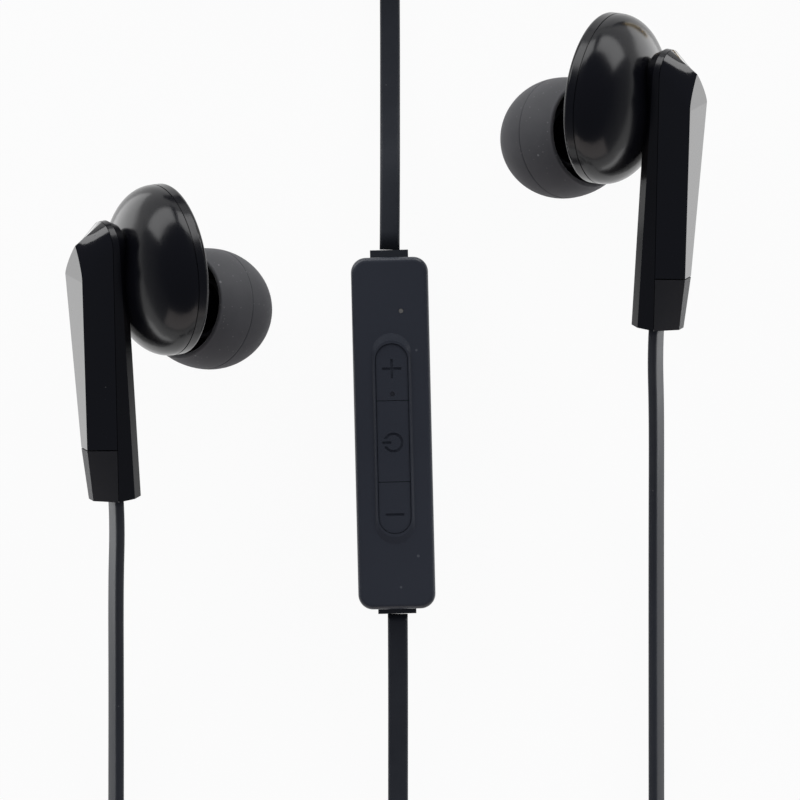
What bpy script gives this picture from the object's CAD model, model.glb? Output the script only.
# %% [markdown]
# # Wired earphones on a white table
# Two in-ear earpieces, a slim remote with three keys and flat black cord lie on a white table and are seen
# from straight above. The hard pieces come from the CAD model, so here they only get their finish. The soft
# pieces, which are the ear tips and the cord, are modelled below.

import math

import bmesh
import bpy
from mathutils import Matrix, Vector


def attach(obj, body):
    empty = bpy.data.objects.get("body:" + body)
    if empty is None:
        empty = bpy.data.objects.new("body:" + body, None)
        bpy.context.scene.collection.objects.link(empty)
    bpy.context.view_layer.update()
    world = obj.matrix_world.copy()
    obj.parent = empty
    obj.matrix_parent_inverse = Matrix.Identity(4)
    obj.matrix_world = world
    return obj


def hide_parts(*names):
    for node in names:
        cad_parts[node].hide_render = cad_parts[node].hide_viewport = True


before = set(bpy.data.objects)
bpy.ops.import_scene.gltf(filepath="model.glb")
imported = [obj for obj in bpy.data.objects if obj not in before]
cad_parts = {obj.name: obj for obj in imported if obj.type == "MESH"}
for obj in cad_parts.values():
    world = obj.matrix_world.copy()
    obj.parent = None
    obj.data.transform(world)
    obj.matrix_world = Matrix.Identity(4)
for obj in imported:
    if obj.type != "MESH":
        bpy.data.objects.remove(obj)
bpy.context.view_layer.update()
MM = 0.001

# %% [markdown]
# ## The camera
# The picture was taken from far above with a long lens, so the cords run parallel and nothing converges. An
# orthographic camera would also do that, but a long lens 2.5 m up keeps a trace of true perspective. At that
# distance a 1125 mm lens sees a square of 80 mm on the table, which is ten pixels to the millimetre.

# %% Camera
SENSOR_WIDTH, VIEW_WIDTH, CAMERA_HEIGHT = 36.0, 80.0, 2500.0
VIEW_CENTRE = (1.375, -8.69)
camera_data = bpy.data.cameras.new("overhead")
camera_data.sensor_width = SENSOR_WIDTH
camera_data.lens = SENSOR_WIDTH * CAMERA_HEIGHT / VIEW_WIDTH
camera_data.clip_start = 0.1
camera_data.clip_end = 20.0
camera = bpy.data.objects.new("overhead", camera_data)
camera.location = (VIEW_CENTRE[0] * MM, VIEW_CENTRE[1] * MM, CAMERA_HEIGHT * MM)
bpy.context.scene.collection.objects.link(camera)
bpy.context.scene.camera = camera
bpy.context.scene.view_settings.view_transform = "Standard"
print("the camera sees", round(SENSOR_WIDTH / camera_data.lens * CAMERA_HEIGHT, 1), "mm across the table")

# %% [markdown]
# ## The cords' routes
# A free cord has no corners. Each route below is a row of control points for one NURBS curve, which draws a
# smooth line past them, as a springy cord lies. The points say where the cord leaves a piece, sinks to the
# table and runs to its put-away coil. Bezier handles would need more numbers for the same line.

# %% Route points in millimetres
LEFT_EAR_ROUTE = [(-26.952, -18.139, 8.560), (-26.788, -20.966, 7.631), (-26.98, -26.90, 5.45),
                  (-26.98, -38.50, 1.75), (-27.00, -49.50, 1.50), (-27.00, -58.00, 1.50)]
RIGHT_EAR_ROUTE = [(26.952, -1.089, 8.560), (26.788, -3.916, 7.631), (26.98, -9.85, 5.45),
                   (26.98, -21.45, 1.75), (26.99, -33.50, 1.10), (27.00, -47.00, 1.50),
                   (27.00, -58.00, 1.50)]
LEFT_TO_COIL = [(-27.0, -68.0, 1.5), (-27.0, -80.0, 1.5)]
RIGHT_TO_COIL = [(27.0, -68.0, 1.5), (27.0, -80.0, 1.5)]
LEFT_SPLIT_ROUTE = [(-2.60, -90.50, 4.00), (-2.60, -85.20, 4.00), (-0.50, -78.70, 1.50),
                    (-0.50, -73.00, 1.50)]
RIGHT_SPLIT_ROUTE = [(3.80, -90.50, 4.00), (3.80, -85.20, 4.00), (2.40, -78.70, 1.50), (2.40, -73.00, 1.50)]
LOWER_ROUTE = [(1.15, -30.05, 3.10), (1.19, -36.50, 2.95), (1.18, -46.00, 1.20), (1.18, -54.50, 1.50),
               (1.18, -62.50, 1.50)]
MAIN_ROUTE = [(0.34, 6.335, 3.10), (0.38, 12.00, 2.95), (0.385, 20.00, 0.85), (0.38, 29.00, 0.55),
              (0.33, 35.50, 1.50), (0.33, 41.00, 1.50)]
PLUG_ROUTE = [(0.33, 55.20, 4.00), (0.33, 61.00, 4.00), (0.45, 70.20, 1.35), (1.50, 79.20, 1.02),
              (5.60, 87.00, 1.00), (12.80, 92.20, 1.00), (21.50, 93.20, 1.00), (29.20, 89.80, 1.20),
              (34.10, 83.80, 1.90), (35.50, 78.20, 3.00), (35.50, 73.10, 3.00)]
MAIN_TO_COIL = [(0.33, 48.0, 1.5)]
ROUTES = (LEFT_EAR_ROUTE, LEFT_TO_COIL, LEFT_SPLIT_ROUTE, RIGHT_EAR_ROUTE, RIGHT_TO_COIL, RIGHT_SPLIT_ROUTE,
          LOWER_ROUTE, MAIN_ROUTE, MAIN_TO_COIL, PLUG_ROUTE)
print("route points:", sum(len(route) for route in ROUTES))

# %% [markdown]
# ## The coils
# The length that isn't in view is wound into neat coils: inwards on the table, up half a turn, and outwards
# again on top, so both ends leave on the outside. A screw or spiral object could give one layer, but not
# the climb between two. A short formula gives the radius and height for every angle, and sixteen points to a
# turn keep the curve round.

# %% Coil formula
TURN_PITCH, LAYER_RISE, COIL_LOW, REVERSE_ROOM = 1.45, 2.5, 1.5, 0.87
POINTS_PER_TURN, CLIMB_TURNS = 16, 0.5
EAR_COIL_Y, EAR_COIL_LOOPS = -90.5, 2.0
MAIN_COIL_Y, MAIN_COIL_LOOPS = 55.2, 4.75


def coil_points(centre, first_degrees, loops, outer, flip=1):
    """Control points of a two-layer coil, in millimetres, without its first and last point."""
    first = math.radians(first_degrees)
    turns_in_all = 2 * loops + CLIMB_TURNS
    steps = int(round(turns_in_all * POINTS_PER_TURN))
    points = []
    for step in range(1, steps):
        turns = turns_in_all * step / steps
        angle = first + turns * 2 * math.pi
        climb = min(max((turns - loops) / CLIMB_TURNS, 0), 1)
        beside = abs(turns - loops - CLIMB_TURNS / 2)
        aside = (1 + math.cos(2 * math.pi * beside)) / 2 if beside < 0.5 else 0.0
        radius = outer - TURN_PITCH * min(turns, turns_in_all - turns) - REVERSE_ROOM * aside
        radius /= math.cos(math.pi / POINTS_PER_TURN) ** 2
        points.append((centre[0] + flip * radius * math.cos(angle), centre[1] + radius * math.sin(angle),
                       COIL_LOW + LAYER_RISE * climb * climb * (3 - 2 * climb)))
    return points


LEFT_COIL = coil_points((-14.8, EAR_COIL_Y), 180, EAR_COIL_LOOPS, 12.2)
RIGHT_COIL = coil_points((15.4, EAR_COIL_Y), 180, EAR_COIL_LOOPS, 11.6, flip=-1)
MAIN_COIL = coil_points((-14.27, MAIN_COIL_Y), 0, MAIN_COIL_LOOPS, 14.6)
print("coil points:", len(LEFT_COIL), len(RIGHT_COIL), len(MAIN_COIL))

# %% [markdown]
# ## From points to a line
# Blender draws the NURBS curve itself. A curve without a bevel turns into a mesh of plain edges, and those
# points are the line that the cord's rubber follows. The order is set once the points are there, because the
# curve falls back to straight runs otherwise.

# %% Read a smooth line from a NURBS curve


def smooth_line(name, points, steps_per_point=6):
    """The points of a NURBS curve past the given control points, in metres."""
    curve = bpy.data.curves.new(name, "CURVE")
    curve.dimensions = "3D"
    curve.resolution_u = steps_per_point
    spline = curve.splines.new("NURBS")
    spline.points.add(len(points) - 1)
    for spot, (x, y, z) in zip(spline.points, points):
        spot.co = (x * MM, y * MM, z * MM, 1.0)
    spline.order_u = 3
    spline.use_endpoint_u = True
    holder = bpy.data.objects.new(name, curve)
    bpy.context.scene.collection.objects.link(holder)
    bpy.context.view_layer.update()
    drawn = bpy.data.meshes.new_from_object(holder)
    line = [v.co.copy() for v in drawn.vertices]
    bpy.data.objects.remove(holder)
    bpy.data.curves.remove(curve)
    bpy.data.meshes.remove(drawn)
    return line


def line_length(line):
    """The length of a line of points, in metres."""
    return sum((b - a).length for a, b in zip(line, line[1:]))


LEFT_LINE = smooth_line("left_line", LEFT_EAR_ROUTE + LEFT_TO_COIL + LEFT_COIL + LEFT_SPLIT_ROUTE)
RIGHT_LINE = smooth_line("right_line", RIGHT_EAR_ROUTE + RIGHT_TO_COIL + RIGHT_COIL + RIGHT_SPLIT_ROUTE)
LOWER_LINE = smooth_line("lower_line", LOWER_ROUTE, 12)
MAIN_LINE = smooth_line("main_line", MAIN_ROUTE + MAIN_TO_COIL + MAIN_COIL + PLUG_ROUTE)
for label, line in (("left", LEFT_LINE), ("right", RIGHT_LINE), ("lower", LOWER_LINE), ("main", MAIN_LINE)):
    print(label, "cord line:", round(line_length(line) / MM, 1), "mm,", len(line), "points")

# %% [markdown]
# ## Flat cord
# The cord is a flat band, 2 mm wide and 1 mm thick, with soft corners. A curve's own bevel can't hold one
# side level while the cord turns, because it picks its own twist. So the section is laid ring by ring along
# the line: at each point a width direction is chosen, made square to the cord's way, and a rounded rectangle
# is placed there. The cord stands on its edge in the coils, and lies flat where it enters the remote.

# %% Sweep a flat section along a line
CORD_WIDE, CORD_THICK, CORD_CORNER = 2.0, 1.0, 0.34


def flat_section(steps=4):
    """The cord's cross-section as (across, through) pairs in millimetres."""
    wide, thick, corner = CORD_WIDE, CORD_THICK, CORD_CORNER
    pairs = []
    for sign_a, sign_b, start in ((1, 1, 0), (-1, 1, 90), (-1, -1, 180), (1, -1, 270)):
        for step in range(steps + 1):
            angle = math.radians(start + 90 * step / steps)
            pairs.append((sign_a * (wide / 2 - corner) + corner * math.cos(angle),
                          sign_b * (thick / 2 - corner) + corner * math.sin(angle)))
    return pairs


def sweep_flat(name, line, width_at):
    """A closed tube of the flat section; width_at gives the way the cord's width points at each place."""
    section = flat_section()
    shape = bmesh.new()
    rings = []
    for i, place in enumerate(line):
        way = (line[min(i + 1, len(line) - 1)] - line[max(i - 1, 0)]).normalized()
        wide = width_at(place)
        wide = (wide - way * wide.dot(way)).normalized()
        through = way.cross(wide)
        rings.append([shape.verts.new(place + (wide * a + through * b) * MM) for a, b in section])
    for low, high in zip(rings, rings[1:]):
        for i in range(len(section)):
            j = (i + 1) % len(section)
            shape.faces.new((low[i], low[j], high[j], high[i]))
    shape.faces.new(list(reversed(rings[0])))
    shape.faces.new(rings[-1])
    return finished_mesh(name, shape)


MOST_SMOOTH_CORNERS = 7


def finished_mesh(name, shape):
    """Turns a bmesh into an object with outward normals, smooth faces and flat end caps."""
    bmesh.ops.recalc_face_normals(shape, faces=shape.faces)
    mesh = bpy.data.meshes.new(name)
    shape.to_mesh(mesh)
    shape.free()
    for face in mesh.polygons:
        face.use_smooth = len(face.vertices) <= MOST_SMOOTH_CORNERS
    piece = bpy.data.objects.new(name, mesh)
    bpy.context.scene.collection.objects.link(piece)
    return piece


def turning(start_way, end_way, place, first_y, last_y):
    """A width direction that turns from one way to another between two places along Y."""
    share = min(max((place.y / MM - first_y) / (last_y - first_y), 0), 1)
    return Vector(start_way).lerp(Vector(end_way), share * share * (3 - 2 * share))


UP, ACROSS = Vector((0, 0, 1)), Vector((1, 0, 0))
LEFT_STEM_WIDTH, RIGHT_STEM_WIDTH = (0.458, -0.2534, 0.852), (-0.458, -0.2534, 0.852)
EAR_TURN_FROM, EAR_TURN_TO = -58, -68
MAIN_TURN_FROM, MAIN_TURN_TO = 41, 51
MAIN_RUN_LEFT, MAIN_RUN_END, MAIN_RUN_TOP = -1, 55.5, 3.2


def left_width(place):
    """Flat against the stem's foot, then on edge from the coil on."""
    return turning(LEFT_STEM_WIDTH, UP, place, EAR_TURN_FROM, EAR_TURN_TO)


def right_width(place):
    """The same for the right cord."""
    return turning(RIGHT_STEM_WIDTH, UP, place, EAR_TURN_FROM, EAR_TURN_TO)


def main_width(place):
    """Level at the remote, then on edge; the coil and the plug's end are on edge all the way."""
    x, y, z = place / MM
    before_coil = x > MAIN_RUN_LEFT and y < MAIN_RUN_END and z < MAIN_RUN_TOP
    return turning((1, 0, 0.001), UP, place, MAIN_TURN_FROM, MAIN_TURN_TO) if before_coil else UP


left_cord = sweep_flat("left_ear_cord_band", LEFT_LINE, left_width)
right_cord = sweep_flat("right_ear_cord_band", RIGHT_LINE, right_width)
lower_cord = sweep_flat("lower_cord_band", LOWER_LINE, lambda place: ACROSS)
main_cord = sweep_flat("main_cord_band", MAIN_LINE, main_width)
for piece in (left_cord, right_cord, lower_cord, main_cord):
    print(piece.name, len(piece.data.vertices), "vertices")

# %% [markdown]
# ## Shader maths as plain expressions
# A finish is built from nodes, and long chains of Math nodes are hard to read. The small class below wraps
# one output socket, so that `0.2 + grain * 0.1` adds the nodes by itself, also with the number first. A
# second class holds one material and has one method for every other kind of node.

# %% Wire and Finish


class Wire:
    """One output socket of a finish; arithmetic on it adds Math nodes."""

    def __init__(self, finish, socket):
        self.finish, self.socket = finish, socket

    def __add__(self, other):
        return self.finish.maths("ADD", self, other)

    __radd__ = __add__

    def __sub__(self, other):
        return self.finish.maths("SUBTRACT", self, other)

    def __rsub__(self, other):
        return self.finish.maths("SUBTRACT", other, self)

    def __mul__(self, other):
        return self.finish.maths("MULTIPLY", self, other)

    __rmul__ = __mul__

    def __gt__(self, other):
        return self.finish.maths("GREATER_THAN", self, other)

    def __lt__(self, other):
        return self.finish.maths("LESS_THAN", self, other)


class Finish:
    """One procedural material."""

    def __init__(self, name, **constants):
        self.material = bpy.data.materials.new(name)
        self.material.use_nodes = True
        self.tree = self.material.node_tree
        self.shader = self.tree.nodes["Principled BSDF"]
        for socket, value in constants.items():
            self.shader.inputs[socket.replace("_", " ")].default_value = value

    def node(self, kind, settings=None, sockets=None, out=0):
        """Adds a node: its settings first, then values or links for its sockets; returns one output."""
        made = self.tree.nodes.new(kind)
        for key, value in (settings or {}).items():
            if key == "stops":
                while len(made.color_ramp.elements) < len(value):
                    made.color_ramp.elements.new(0.5)
                for stop, (place, colour) in zip(made.color_ramp.elements, value):
                    stop.position, stop.color = place, colour
            else:
                setattr(made, key, value)
        for key, value in (sockets or {}).items():
            if isinstance(value, Wire):
                self.tree.links.new(value.socket, made.inputs[key])
            else:
                made.inputs[key].default_value = value
        return Wire(self, made.outputs[out])

    def maths(self, operation, first, second):
        """One Math node on two wires or numbers."""
        return self.node("ShaderNodeMath", {"operation": operation}, {0: first, 1: second})

    def place(self):
        """The surface's own place in metres, which moves with the piece."""
        return self.node("ShaderNodeTexCoord", out="Object")

    def noise(self, per_metre, detail=2.0, roughness=0.5):
        """A soft cloudy pattern, from 0 to 1."""
        return self.node("ShaderNodeTexNoise", {}, {"Vector": self.place(), "Scale": per_metre,
                                                    "Detail": detail, "Roughness": roughness})

    def mix(self, share, first, second):
        """A colour between two colours."""
        return self.node("ShaderNodeMix", {"data_type": "RGBA"}, {0: share, 6: first, 7: second}, out=2)

    def specks(self, per_metre, size, rarity):
        """A mask of rare round specks: a few of the cells of a Voronoi pattern, near their middle."""
        cells = {"Vector": self.place(), "Scale": per_metre}
        near = self.node("ShaderNodeTexVoronoi", {}, cells, out="Distance")
        chance = self.node("ShaderNodeSeparateColor", {}, {
            "Color": self.node("ShaderNodeTexVoronoi", {}, cells, out="Color")}, out="Red")
        return (near < size * chance) * (chance > rarity)

    def bump(self, height, strength, depth):
        """A Bump node on the Normal socket."""
        sockets = {"Strength": strength, "Distance": depth, "Height": height}
        self.set("Normal", self.node("ShaderNodeBump", {}, sockets))

    def set(self, socket, wire):
        """Links a wire to one of the shader's own sockets."""
        self.tree.links.new(wire.socket, self.shader.inputs[socket])


print("operators ready")

# %% [markdown]
# ## Black plastics
# Three moulded blacks lie side by side here. The dome and stem cover are polished, the remote has a fine
# satin grain with a cold tint, and the foot piece below the cover is matte. Each gets its own roughness and
# grain, since a single black would make them one lump. The stem cover comes first: it is the glossiest, with
# a thin clear coat. Its roughness varies with a soft noise, as fingers leave it.

# %% Polished shell
polished = Finish("polished_black_shell", IOR=1.5, Coat_Weight=0.3, Coat_IOR=1.5, Coat_Roughness=0.05)
film = polished.noise(120, 3)
dust = polished.specks(900, 0.10, 0.86)
dark, lint = (0.0030, 0.0031, 0.0050, 1), (0.16, 0.16, 0.17, 1)
polished.set("Base Color", polished.mix(dust * 0.5, dark, lint))
polished.set("Roughness", 0.10 + film * 0.08 + dust * 0.3)
polished.bump(polished.noise(260, 1), 0.04, 0.0002)
print("finish:", polished.material.name)

# %% [markdown]
# ## The domes
# The round shells were polished less than the stem covers. Their highlights have softer ends, and they have
# no clear coat. The stem's finish with a higher roughness would do, but its coat would still show sharp
# edges.

# %% Dome, a shade softer than the stem
dome_finish = Finish("soft_gloss_dome", IOR=1.42)
film = dome_finish.noise(90, 3)
dust = dome_finish.specks(700, 0.08, 0.9)
dark, lint = (0.0046, 0.0048, 0.0070, 1), (0.14, 0.14, 0.15, 1)
dome_finish.set("Base Color", dome_finish.mix(dust * 0.5, dark, lint))
dome_finish.set("Roughness", 0.15 + film * 0.08)
dome_finish.bump(dome_finish.noise(200, 1), 0.03, 0.0002)
print("finish:", dome_finish.material.name)

# %% [markdown]
# ## The remote
# The remote's skin is finely etched, so it is a shade lighter and cooler than the domes. Real grain could be
# displaced into the mesh, but it is only hundredths of a millimetre deep, so a faint bump is enough.

# %% Satin remote
satin = Finish("satin_remote", IOR=1.48)
grain = satin.noise(9000, 2)
cloud = satin.noise(140, 3)
dust = satin.specks(620, 0.09, 0.84)
base = satin.mix(cloud * 0.6, (0.040, 0.045, 0.058, 1), (0.052, 0.058, 0.074, 1))
satin.set("Base Color", satin.mix(dust * 0.6, base, (0.16, 0.17, 0.19, 1)))
satin.set("Roughness", 0.27 + cloud * 0.07 + grain * 0.05)
satin.bump(grain, 0.12, 0.00003)
print("finish:", satin.material.name)

# %% [markdown]
# ## The foot pieces
# Below each glossy cover a short sleeve holds the cord. It is the same black without polish, and the change
# of gloss is what makes the joint between them visible. A painted line would look the same in any light, and
# a change of gloss doesn't.

# %% Matte foot piece
matte = Finish("matte_sleeve", IOR=1.45)
grain = matte.noise(7000, 3)
matte.set("Base Color", matte.mix(grain, (0.0105, 0.011, 0.014, 1), (0.0145, 0.015, 0.0185, 1)))
matte.set("Roughness", 0.5 + grain * 0.12)
matte.bump(grain, 0.15, 0.00004)
print("finish:", matte.material.name)

# %% [markdown]
# ## Rubber and silicone
# Ear tips are cast in soft silicone with a matte, slightly dusty skin that scatters light, so a little sheen
# brightens it towards its rim. It picks up lint and dust, which a few rare specks of a Voronoi pattern give.
# Dots from a picture would need an image, and these don't.

# %% Silicone
silicone = Finish("tip_silicone", IOR=1.41, Sheen_Weight=0.12, Sheen_Roughness=0.5)
cloud = silicone.noise(320, 4, 0.6)
fine = silicone.noise(11000, 3, 0.7)
big_dust = silicone.specks(850, 0.12, 0.8)
small_dust = silicone.specks(2300, 0.19, 0.6)
skin = silicone.mix(cloud, (0.066, 0.066, 0.070, 1), (0.094, 0.094, 0.100, 1))
lint = big_dust * 0.55 + small_dust * 0.3
silicone.set("Base Color", silicone.mix(lint, skin, (0.30, 0.30, 0.31, 1)))
silicone.set("Roughness", 0.62 + fine * 0.16)
silicone.bump(fine, 0.18, 0.00005)
print("finish:", silicone.material.name)

# %% [markdown]
# ## The cord's jacket
# The jacket is extruded rubber, so it is smoother than the tips and shines along its edges. Stripes along
# the cord would show how it was drawn, but they are too faint to be seen, so it gets a soft cloud and fine
# grain.

# %% Cord jacket
jacket = Finish("cord_rubber", IOR=1.47)
cloud = jacket.noise(420, 3)
fine = jacket.noise(9000, 2)
dust = jacket.specks(1200, 0.1, 0.9)
skin = jacket.mix(cloud, (0.026, 0.029, 0.036, 1), (0.036, 0.040, 0.048, 1))
jacket.set("Base Color", jacket.mix(dust * 0.4, skin, (0.2, 0.2, 0.21, 1)))
jacket.set("Roughness", 0.38 + cloud * 0.1)
jacket.bump(fine, 0.12, 0.00003)
print("finish:", jacket.material.name)

# %% [markdown]
# ## The ties
# Each coil is held by a short band with a coarse, cloth-like face. Its threads could be modelled, but they
# are too fine to be seen one by one, so a coarse bump gives the weave.

# %% Tie band
band_finish = Finish("tie_band", IOR=1.5)
weave = band_finish.noise(5200, 2)
band_finish.set("Base Color", band_finish.mix(weave, (0.012, 0.012, 0.013, 1), (0.03, 0.03, 0.032, 1)))
band_finish.set("Roughness", 0.6 + weave * 0.15)
band_finish.bump(weave, 0.3, 0.00008)
print("finish:", band_finish.material.name)

# %% [markdown]
# ## Metals and small inner parts
# Inside the shells are a driver, a board and fine wires. They are seen only when the part is opened, but
# each still gets its own metal or plastic, with the fine marks or grain of the real one. One function makes
# all the metals, because they differ only in colour, roughness and the size of their marks.

# %% Metals


def metal(name, colour, rough, marks_per_metre, strength=0.1):
    """A bare metal with fine uneven marks in its gloss."""
    made = Finish(name, Metallic=1.0)
    marks = made.noise(marks_per_metre, 4, 0.7)
    darker = tuple(c * 0.82 for c in colour[:3]) + (1,)
    made.set("Base Color", made.mix(marks, darker, colour))
    made.set("Roughness", rough + marks * 0.14)
    made.bump(marks, strength, 0.00002)
    return made


mesh_steel = metal("nozzle_steel", (0.50, 0.50, 0.52, 1), 0.28, 6000)
yoke_steel = metal("driver_steel", (0.56, 0.56, 0.58, 1), 0.3, 3000)
magnet_metal = metal("magnet_nickel", (0.62, 0.61, 0.60, 1), 0.22, 2500)
contact_gold = metal("contact_gold", (0.86, 0.62, 0.26, 1), 0.16, 2200, 0.05)
copper = metal("copper_wire", (0.78, 0.36, 0.20, 1), 0.3, 9000, 0.3)
print("metals ready")

# %% [markdown]
# ## Small plastics
# The driver's frame and diaphragm, the board, the light window and the plug's insulators differ in colour
# and gloss only, so one function makes them all, as it does for the metals.

# %% Small plastics


def moulding(name, low, high, rough, per_metre=3000, **constants):
    """A moulded plastic whose colour and gloss vary a little with a fine grain."""
    made = Finish(name, **constants)
    grain = made.noise(per_metre, 3)
    made.set("Base Color", made.mix(grain, low + (1,), high + (1,)))
    made.set("Roughness", rough + grain * 0.1)
    made.bump(grain, 0.1, 0.00003)
    return made


basket_plastic = moulding("driver_basket", (0.05, 0.05, 0.052), (0.08, 0.08, 0.082), 0.45)
film_plastic = moulding("diaphragm_film", (0.42, 0.40, 0.34), (0.52, 0.50, 0.44), 0.25, 1500, IOR=1.6)
board_green = moulding("board_green", (0.008, 0.09, 0.035), (0.012, 0.13, 0.05), 0.35, 4000)
window_plastic = moulding("light_window", (0.17, 0.165, 0.15), (0.24, 0.235, 0.22), 0.3, 4000, IOR=1.5)
insulator = moulding("insulator_black", (0.012, 0.012, 0.012), (0.02, 0.02, 0.02), 0.35)
print("small plastics ready")

# %% [markdown]
# ## From finishes to pieces
# A list says which finish each kind of piece gets. Left and right pieces share one line, since their names
# differ only in the first word. Cords aren't in the list: whatever it doesn't name gets the cord's jacket.

# %% Give every CAD node its finish
FINISH_OF = {
    "front_shell": dome_finish, "rear_shell": dome_finish, "stem_cover": polished, "cord_sleeve": matte,
    "nozzle_mesh": mesh_steel, "driver_frame": basket_plastic, "driver_yoke": yoke_steel,
    "driver_magnet": magnet_metal, "voice_coil": copper, "diaphragm": film_plastic, "lead_pair": copper,
    "remote_front_shell": satin, "remote_back_shell": satin, "remote_volume_up_key": satin,
    "remote_power_key": satin, "remote_volume_down_key": satin, "remote_board": board_green,
    "remote_dome_switches": yoke_steel, "remote_microphone": yoke_steel, "remote_light": window_plastic,
    "remote_light_window": window_plastic, "remote_top_collar": jacket, "remote_foot_collar": jacket,
    "splitter_back_shell": satin, "splitter_front_shell": satin, "plug_strain_relief": jacket,
    "plug_housing": satin, "plug_sleeve_contact": contact_gold, "plug_ring_contact_1": contact_gold,
    "plug_ring_contact_2": contact_gold, "plug_insulators": insulator, "plug_tip_contact": contact_gold,
    "coil_tie": band_finish, "main_coil_tie": band_finish,
}
for name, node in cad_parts.items():
    side, _, kind = name.partition("_")
    chosen = FINISH_OF.get(kind if side in ("left", "right") else name, jacket)
    node.data.materials.clear()
    node.data.materials.append(chosen.material)
print("nodes dressed:", len(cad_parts))

# %% [markdown]
# ## Ear tips
# A silicone tip is a ball-shaped skirt folded back from a tube that grips the nozzle. It is round about its
# own axis, so its profile is drawn once and turned round that axis. The profile has the rounded lip of the
# skirt, the hollow behind it, the inner tube, and a hair-fine groove where the two halves of the mould met.

# %% Turn a profile round an axis


def lathe(name, centre, axis, profile, segments=96):
    """A piece turned from (radius, height) pairs, in millimetres, about an axis through the centre."""
    axis = Vector(axis).normalized()
    side = axis.cross(Vector((0, 1, 0))).normalized()
    other = axis.cross(side)
    shape = bmesh.new()
    rings = []
    for radius, height in profile:
        ring = []
        for i in range(segments):
            angle = 2 * math.pi * i / segments
            out = side * math.cos(angle) + other * math.sin(angle)
            ring.append(shape.verts.new((Vector(centre) + axis * height + out * radius) * MM))
        rings.append(ring)
    for low, high in zip(rings, rings[1:] + rings[:1]):
        for i in range(segments):
            j = (i + 1) % segments
            shape.faces.new((low[i], low[j], high[j], high[i]))
    return finished_mesh(name, shape)


def arc(centre, radii, first, last, steps):
    """Points on an ellipse, from one angle to another in degrees."""
    return [(centre[0] + radii[0] * math.cos(math.radians(first + (last - first) * i / steps)),
             centre[1] + radii[1] * math.sin(math.radians(first + (last - first) * i / steps)))
            for i in range(steps + 1)]


TIP_RADIUS, TIP_FRONT, TIP_BACK, SKIRT_WALL, FRONT_WALL = 6.05, 6.65, 7.66, 0.5, 0.7
TUBE_RADIUS, BORE_RADIUS = 3.0, 2.4
TIP_CENTRE, TIP_AXIS = (-17.704, 0.399, 6.378), (0.6751, -0.0933, -0.7318)
RIGHT_EAR_RISE = 17.05


def tip_profile():
    """The closed profile of the ear tip, from the bore's front lip round the skirt and back up the bore."""
    front = arc((0, 0), (TIP_RADIUS, TIP_FRONT), 65.0, 1.2, 30)
    groove = [(TIP_RADIUS - depth, height) for depth, height in (
        (0.002, 0.12), (0.01, 0.08), (0.1, 0.03), (0.1, -0.03), (0.01, -0.08), (0.002, -0.12))]
    skirt = arc((0, 0), (TIP_RADIUS, TIP_BACK), -1.2, -28.2, 20)
    lip = arc((5.09, -3.62), (0.24, 0.20), -10, -170, 8)
    hollow_radius = TIP_RADIUS - SKIRT_WALL
    inside = (arc((0, 0), (hollow_radius, TIP_BACK - SKIRT_WALL), -29.2, 0, 12)
              + arc((0, 0), (hollow_radius, TIP_FRONT - FRONT_WALL), 6, 56, 12))
    tube_outside = [(3.02, 4.85), (TUBE_RADIUS, 4.6), (TUBE_RADIUS, 1.0), (TUBE_RADIUS, -1.05)]
    tube_end = [(2.93, -1.18), (2.8, -1.2), (2.55, -1.2), (2.43, -1.15)]
    bore = [(BORE_RADIUS, -1.0), (BORE_RADIUS, 2.0), (BORE_RADIUS, 5.80), (2.46, 5.98)]
    return front + groove + skirt + lip + inside + tube_outside + tube_end + bore


for side_name, flip, rise in (("left", 1, 0), ("right", -1, RIGHT_EAR_RISE)):
    tip = lathe(side_name + "_silicone_tip", (flip * TIP_CENTRE[0], TIP_CENTRE[1] + rise, TIP_CENTRE[2]),
                (flip * TIP_AXIS[0], TIP_AXIS[1], TIP_AXIS[2]), tip_profile())
    tip.data.materials.append(silicone.material)
    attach(tip, side_name + "_tip")
    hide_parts(side_name + "_ear_tip")
    print(tip.name, len(tip.data.vertices), "vertices")

# %% [markdown]
# Each cord now gets its jacket, rides on the body that it is tied to, and stands for the CAD solids that it
# follows. Its true length and the piece on its far end are said here too. The two ear cords end in the
# splitter, so their far end is a connector.

# %% Cords
for piece, line, nodes, exit_point, far_end, lay, pieces in (
        (left_cord, LEFT_LINE, ("left_ear_cord", "left_cord_coil", "left_split_cord"),
         LEFT_EAR_ROUTE[0], "connector", "coiled", ("left_coil_tie",)),
        (right_cord, RIGHT_LINE, ("right_ear_cord", "right_cord_coil", "right_split_cord"),
         RIGHT_EAR_ROUTE[0], "connector", "coiled", ("right_coil_tie",)),
        (lower_cord, LOWER_LINE, ("lower_cord",),
         LOWER_ROUTE[0], "connector", "loose", ("splitter_front_shell", "splitter_back_shell")),
        (main_cord, MAIN_LINE, ("main_cord", "main_cord_coil", "plug_cord"),
         MAIN_ROUTE[0], "plug", "coiled", ("main_coil_tie", "plug_strain_relief", "plug_housing",
                                           "plug_sleeve_contact", "plug_ring_contact_1",
                                           "plug_ring_contact_2", "plug_insulators", "plug_tip_contact"))):
    piece.data.materials.append(jacket.material)
    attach(piece, "earphones")
    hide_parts(*nodes)
    length = line_length(line)
    [c * MM for c in exit_point]
    print(piece.name, "length", round(length / MM, 1), "mm")

# %% [markdown]
# ## Table
# The table is plain and white. The camera, and rays that come by way of gloss or glass, see it as white with
# a trace of the object's shadow. Every other ray meets an ordinary pale surface, so the white itself throws
# no extra light on the object. A stronger lamp would also whiten the table, but it would grey the blacks.

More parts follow.
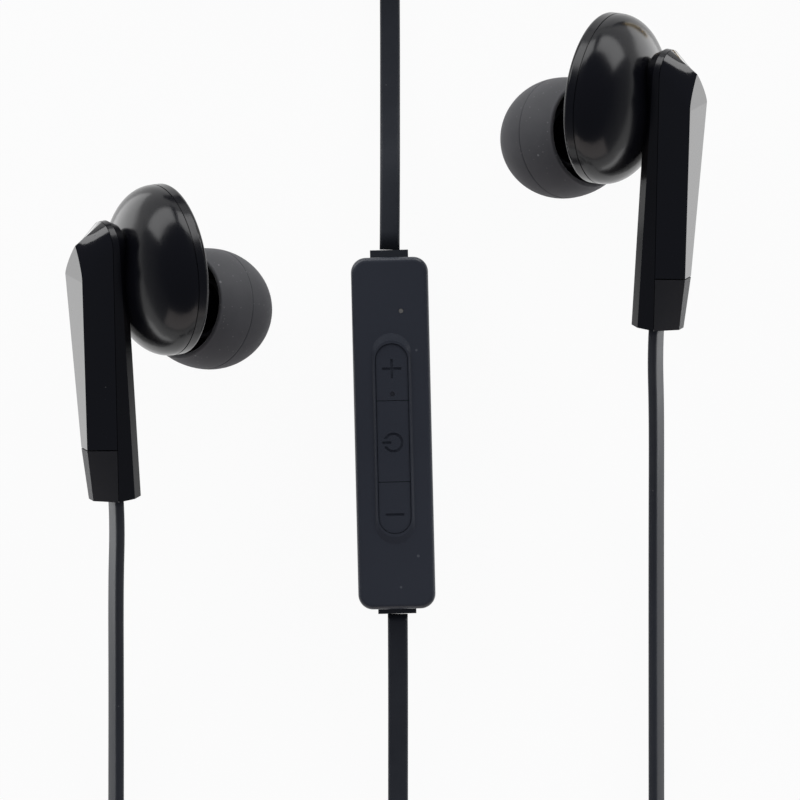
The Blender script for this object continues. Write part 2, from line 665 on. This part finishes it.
# %% Table
TABLE_HALF, TABLE_DROP, WHITE_SHARE = 2.0, 0.05 * MM, 0.95
shape = bmesh.new()
bmesh.ops.create_grid(shape, x_segments=2, y_segments=2, size=TABLE_HALF)
bmesh.ops.translate(shape, verts=shape.verts, vec=(0, 0, -TABLE_DROP))
table = finished_mesh("table", shape)
paper = Finish("white_table", Roughness=0.9)
fibre = paper.noise(60, 2)
paper.set("Base Color", paper.mix(fibre, (0.86, 0.86, 0.86, 1), (0.88, 0.88, 0.88, 1)))
by_camera = paper.node("ShaderNodeLightPath", out="Is Camera Ray")
by_gloss = paper.node("ShaderNodeLightPath", out="Is Glossy Ray")
by_glass = paper.node("ShaderNodeLightPath", out="Is Transmission Ray")
seen = 1 - (1 - by_camera) * (1 - by_gloss) * (1 - by_glass)
glow = paper.node("ShaderNodeEmission", {}, {"Color": (1, 1, 1, 1), "Strength": 1.0})
lit = Wire(paper, paper.shader.outputs[0])
surface = paper.node("ShaderNodeMixShader", {}, {0: seen * WHITE_SHARE, 1: lit, 2: glow})
paper.tree.links.new(surface.socket, paper.tree.nodes["Material Output"].inputs["Surface"])
table.data.materials.append(paper.material)
print("table ready")

# %% [markdown]
# ## Light
# In the photograph the tops stay black while the flanks shine, and each dome has one soft patch near its
# far side. So two broad softboxes stand low behind the pieces, one for each earpiece, and the room above is
# dim and even. The pale strips on the outer flanks of the stems come from two small panels that lie on the
# table, and a weak, slightly warm softbox in front keeps the near ends from going black. A ring light would
# be simpler, but it would put its own shape on each dome.

# %% World and softboxes


class Room(Finish):
    """The world, whose nodes are made in the same way as a finish's."""

    def __init__(self, name):
        self.world = bpy.data.worlds.new(name)
        self.world.use_nodes = True
        self.tree = self.world.node_tree
        self.tree.nodes.clear()


LOW_LIGHT, HIGH_LIGHT, HIGH_FROM = (0.34, 0.345, 0.36, 1), (0.118, 0.126, 0.155, 1), 0.55
room = Room("studio")
way = room.node("ShaderNodeTexCoord", out="Generated")
height = room.node("ShaderNodeSeparateXYZ", {}, {0: way}, out="Z")
ramp = room.node("ShaderNodeValToRGB", {"stops": [(0.0, LOW_LIGHT), (HIGH_FROM, HIGH_LIGHT)]}, {0: height})
backdrop = room.node("ShaderNodeBackground", {}, {"Color": ramp})
output = room.tree.nodes.new("ShaderNodeOutputWorld")
room.tree.links.new(backdrop.socket, output.inputs["Surface"])
bpy.context.scene.world = room.world
print("the room's light, low and high:", LOW_LIGHT[:3], HIGH_LIGHT[:3])


def softbox(name, place, aim, wide, tall, watts, colour=(1, 1, 1)):
    """A rectangular area light that faces its aim and that the camera doesn't see."""
    data = bpy.data.lights.new(name, "AREA")
    data.shape = "RECTANGLE"
    data.size, data.size_y, data.energy, data.color = wide, tall, watts, colour
    lamp = bpy.data.objects.new(name, data)
    lamp.location = place
    lamp.rotation_mode = "QUATERNION"
    lamp.rotation_quaternion = (Vector(aim) - Vector(place)).to_track_quat("-Z", "Y")
    lamp.visible_camera = False
    bpy.context.scene.collection.objects.link(lamp)
    print(name, watts, "W")


WARM_WHITE = (1.0, 0.90, 0.86)
for side_name, x in (("left", -0.46), ("right", 0.46)):
    softbox(side_name + "_softbox", (x, 0.65, 0.27), (0, 0, 0), 0.92, 0.40, 4.0)
for side_name, x, y in (("left", -0.056, -0.010), ("right", 0.056, 0.007)):
    softbox(side_name + "_floor_panel", (x, y, 0.001), (x, y, 1), 0.044, 0.090, 0.020)
softbox("front_softbox", (0.0, -0.66, 0.20), (0, -0.03, 0), 1.10, 0.30, 1.0, WARM_WHITE)
